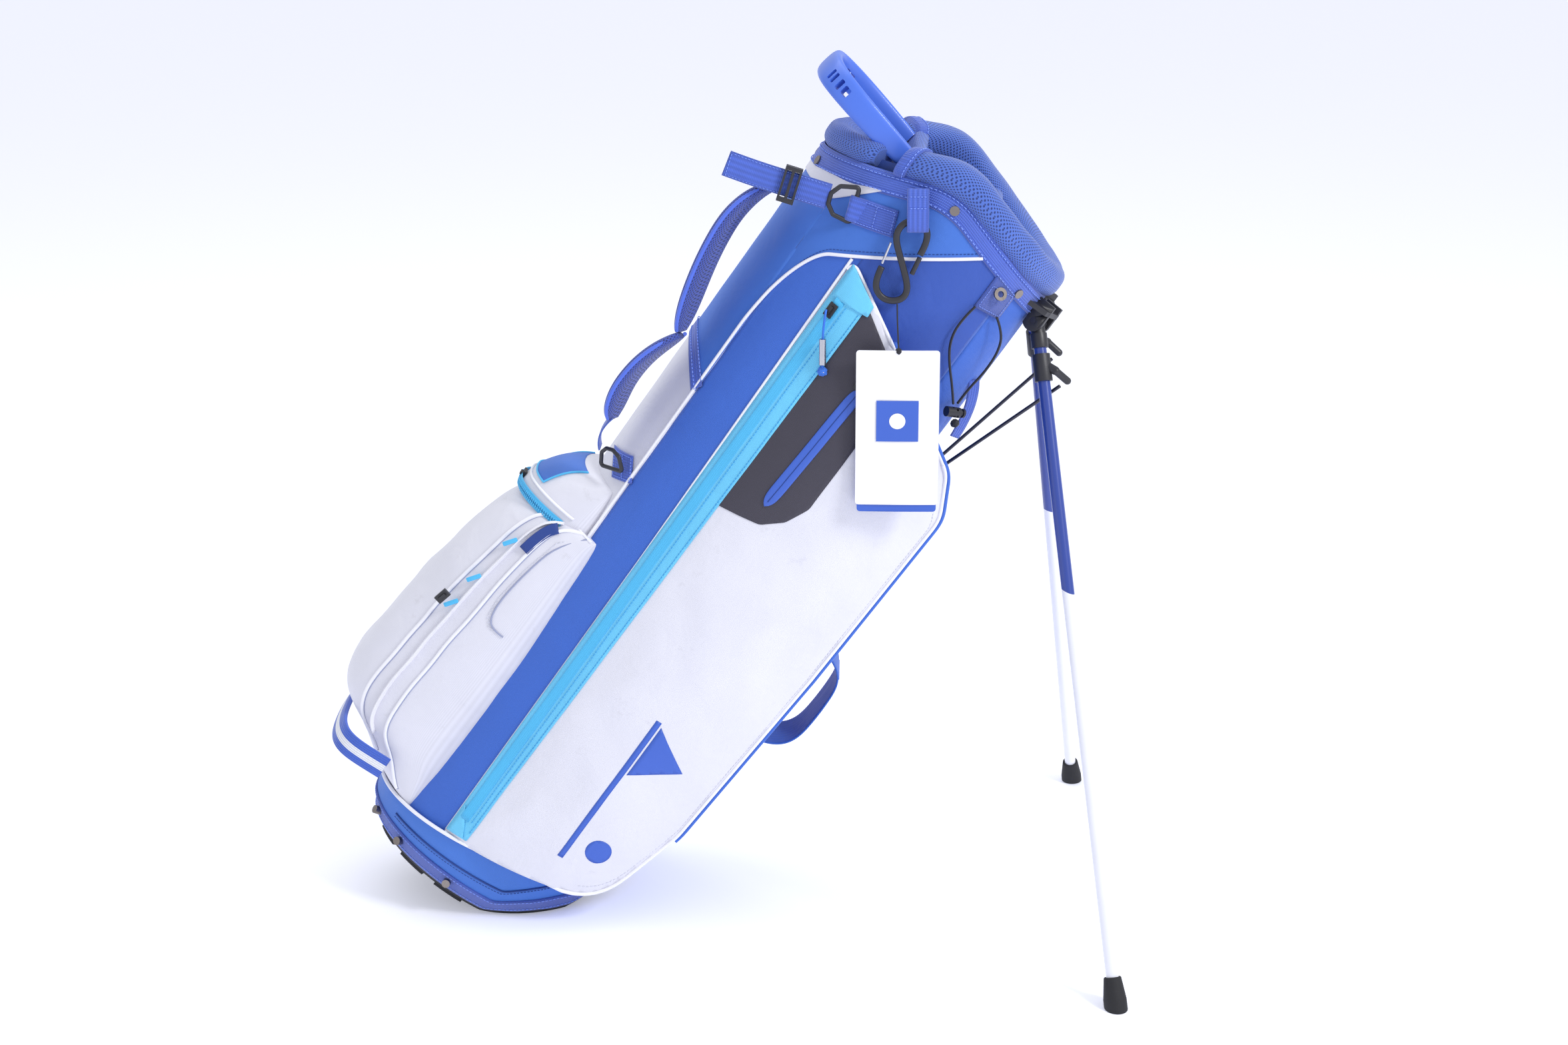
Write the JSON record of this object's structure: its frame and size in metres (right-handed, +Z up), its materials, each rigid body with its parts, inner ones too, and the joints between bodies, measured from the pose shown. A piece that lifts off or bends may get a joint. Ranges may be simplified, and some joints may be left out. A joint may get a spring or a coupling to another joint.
{
  "type": "golf stand bag",
  "caption": "Golf stand bag leaning on splayed folding legs, with padded mouth and dividers, zip pockets, lift handle, carry strap, and a hanging clip, cord toggle and tag.",
  "frame": {"origin": "middle of the toe plate's underside, the face that rests on the ground while the bag leans on its legs", "axes": "+X from the bag's bottom towards its legs, +Y to the bag's left (away from the garment pocket), +Z up; the bag's own axis leans 35 degrees from +Z towards +X"},
  "size_m": [0.7813, 0.5648, 0.8548],
  "materials": {
    "royal_fabric": "plain woven polyester, matte",
    "dark_fabric": "plain woven polyester, matte",
    "cyan_fabric": "plain woven polyester, matte",
    "white_fabric": "plain woven polyester, matte",
    "charcoal_fabric": "plain woven polyester, matte",
    "webbing": "ribbed webbing",
    "striped_webbing": "striped webbing",
    "mesh_padding": "spacer mesh over foam",
    "handle_plastic": "moulded plastic, satin",
    "gunmetal": "black plated steel",
    "zip_tape": "zip tape and moulded teeth",
    "moulded_blue": "moulded plastic, satin",
    "moulded_black": "moulded plastic, fine grain",
    "rubber": "matt rubber",
    "leg_paint": "gloss paint on aluminium tube",
    "steel": "darkened spring steel",
    "nickel": "nickel plated",
    "elastic": "braided cover",
    "card": "coated card"
  },
  "bodies": {
    "bag": {"front_panel": "white_fabric", "spine_panel": "charcoal_fabric", "right_side_panel": "royal_fabric", "left_side_panel": "royal_fabric", "body_stays": "moulded_black", "base_cup": "moulded_blue", "base_sole": "rubber", "base_trim": "webbing", "rivets": "nickel", "mouth_ring": "moulded_black", "collar_trim": "webbing", "collar_pad": "royal_fabric", "dividers": "dark_fabric", "lift_handle": "handle_plastic", "handle_cuffs": "dark_fabric", "leg_bracket": "moulded_black", "hinge_pins": "steel", "garment_pocket": "royal_fabric", "valuables_pocket": "charcoal_fabric", "ball_pocket": "royal_fabric", "accessory_pocket": "dark_fabric", "left_pocket": "royal_fabric", "zip_chains": "zip_tape", "hip_pad": "mesh_padding", "cart_loop": "webbing", "strap_webbing": "webbing", "shoulder_pad": "mesh_padding", "waist_pad": "mesh_padding", "grab_handle": "striped_webbing", "sewn_tabs": "webbing", "elastic_loop": "elastic"},
    "right_leg": {"right_leg_head": "moulded_black", "right_leg_tube": "leg_paint", "right_leg_hook": "moulded_black", "right_leg_foot": "rubber"},
    "left_leg": {"left_leg_head": "moulded_black", "left_leg_tube": "leg_paint", "left_leg_hook": "moulded_black", "left_leg_foot": "rubber"},
    "foot_plate": {"toe_plate": "moulded_black"},
    "rod_pair": {"push_rods": "steel"},
    "right_link": {"right_link": "steel"},
    "left_link": {"left_link": "steel"},
    "upper_ring": {"upper_d_ring": "gunmetal"},
    "lower_ring": {"lower_d_ring": "gunmetal"},
    "slide_buckle": {"tri_glide": "gunmetal"},
    "garment_slider": {"garment_zip_slider": "nickel"},
    "garment_pull": {"zip_pull_cord": "elastic", "zip_pull": "nickel"},
    "valuables_slider": {"valuables_zip_slider": "nickel"},
    "left_slider": {"left_zip_slider": "nickel"},
    "ball_slider": {"ball_zip_slider": "nickel"},
    "accessory_slider": {"accessory_zip_slider": "nickel"},
    "clip": {"clip_frame": "moulded_black"},
    "clip_gate_upper": {"clip_upper_gate": "moulded_black"},
    "clip_gate_lower": {"clip_lower_gate": "steel"},
    "tag": {"tag_string": "elastic", "tag_cards": "card"},
    "toggle": {"cord_toggle": "moulded_black"},
    "toggle_button": {"toggle_button": "moulded_black"}
  },
  "joints": [
    {"name": "right_leg_fold", "type": "hinge", "parent": "bag", "child": "right_leg", "pos_m": [0.50483, -0.035, 0.60279], "axis": [0.4096, 0.866, -0.2868], "range_deg": [0, 46.3]},
    {"name": "left_leg_fold", "type": "hinge", "parent": "bag", "child": "left_leg", "pos_m": [0.50483, 0.035, 0.60279], "axis": [-0.4096, 0.866, 0.2868], "range_deg": [0, 46.31]},
    {"name": "toe_plate_swing", "type": "hinge", "parent": "bag", "child": "foot_plate", "pos_m": [-0.04173, 0, 0.004], "axis": [0, 1, 0], "range_deg": [0, 23.1]},
    {"name": "push_rod_slide", "type": "slide", "parent": "bag", "child": "rod_pair", "axis": [-0.5736, 0, -0.8191], "range_m": [0, 0.0426]},
    {"name": "right_link_turn", "type": "hinge", "parent": "rod_pair", "child": "right_link", "pos_m": [0.3865, -0.008, 0.42684], "axis": [-0.4674, -0.8532, 0.2317], "range_deg": [0, 11.2]},
    {"name": "left_link_turn", "type": "hinge", "parent": "rod_pair", "child": "left_link", "pos_m": [0.3865, 0.008, 0.42684], "axis": [0.4674, -0.8532, -0.2317], "range_deg": [0, 11.2]},
    {"name": "upper_ring_rock", "type": "hinge", "parent": "bag", "child": "upper_ring", "pos_m": [0.33059, -0.088, 0.72358], "axis": [0.2607, 0, 0.9654], "range_deg": [-12, 12]},
    {"name": "lower_ring_rock", "type": "hinge", "parent": "bag", "child": "lower_ring", "pos_m": [0.09846, -0.057, 0.46006], "axis": [0.7475, -0.664, -0.0213], "range_deg": [-12, 12]},
    {"name": "slide_buckle_shift", "type": "slide", "parent": "bag", "child": "slide_buckle", "axis": [-0.955, 0, 0.2966], "range_m": [-0.02, 0.04]},
    {"name": "garment_zip_slide", "type": "slide", "parent": "bag", "child": "garment_slider", "axis": [-0.5736, 0, -0.8191], "range_m": [0, 0.6]},
    {"name": "garment_pull_swing", "type": "hinge", "parent": "garment_slider", "child": "garment_pull", "pos_m": [0.305, -0.1094, 0.63], "axis": [-1, 0, 0], "range_deg": [0, 50]},
    {"name": "valuables_zip_slide", "type": "slide", "parent": "bag", "child": "valuables_slider", "axis": [-0.5736, 0, -0.8191], "range_m": [0, 0.135]},
    {"name": "left_zip_slide", "type": "slide", "parent": "bag", "child": "left_slider", "axis": [-0.5736, 0, -0.8191], "range_m": [0, 0.34]},
    {"name": "ball_zip_slide", "type": "slide", "parent": "bag", "child": "ball_slider", "axis": [0.7479, 0, 0.6638], "range_m": [0, 0.095]},
    {"name": "accessory_zip_slide", "type": "slide", "parent": "bag", "child": "accessory_slider", "axis": [0, 1, 0], "range_m": [-0.026, 0.026]},
    {"name": "clip_swing", "type": "hinge", "parent": "bag", "child": "clip", "pos_m": [0.38823, -0.1125, 0.71047], "axis": [-1, 0, 0], "range_deg": [0, 60]},
    {"name": "clip_gate_upper_open", "type": "hinge", "parent": "clip", "child": "clip_gate_upper", "pos_m": [0.38341, -0.1125, 0.66453], "axis": [0, -1, 0], "range_deg": [0, 25], "stiffness_Nm_per_rad": 0.02},
    {"name": "clip_gate_lower_open", "type": "hinge", "parent": "clip", "child": "clip_gate_lower", "pos_m": [0.36381, -0.1125, 0.69391], "axis": [0, -1, 0], "range_deg": [0, 25], "stiffness_Nm_per_rad": 0.02},
    {"name": "tag_swing", "type": "hinge", "parent": "clip", "child": "tag", "pos_m": [0.3704, -0.113, 0.6366], "axis": [-1, 0, 0], "range_deg": [0, 60]},
    {"name": "toggle_shift", "type": "slide", "parent": "bag", "child": "toggle", "axis": [0, 0, 1], "range_m": [0, 0.01], "deforming": ["elastic_loop"]},
    {"name": "toggle_button_press", "type": "slide", "parent": "toggle", "child": "toggle_button", "axis": [-0.8315, -0.5009, 0.2404], "range_m": [0, 0.0026], "stiffness_N_per_m": 300}
  ],
  "couplings": [
    {"joint": "left_leg_fold", "follows": "right_leg_fold", "ratio": 1},
    {"joint": "toe_plate_swing", "follows": "right_leg_fold", "ratio": 0.4968},
    {"joint": "push_rod_slide", "follows": "right_leg_fold", "m_per_rad": 0.05264},
    {"joint": "right_link_turn", "follows": "right_leg_fold", "ratio": 0.241},
    {"joint": "left_link_turn", "follows": "right_leg_fold", "ratio": 0.241}
  ]
}
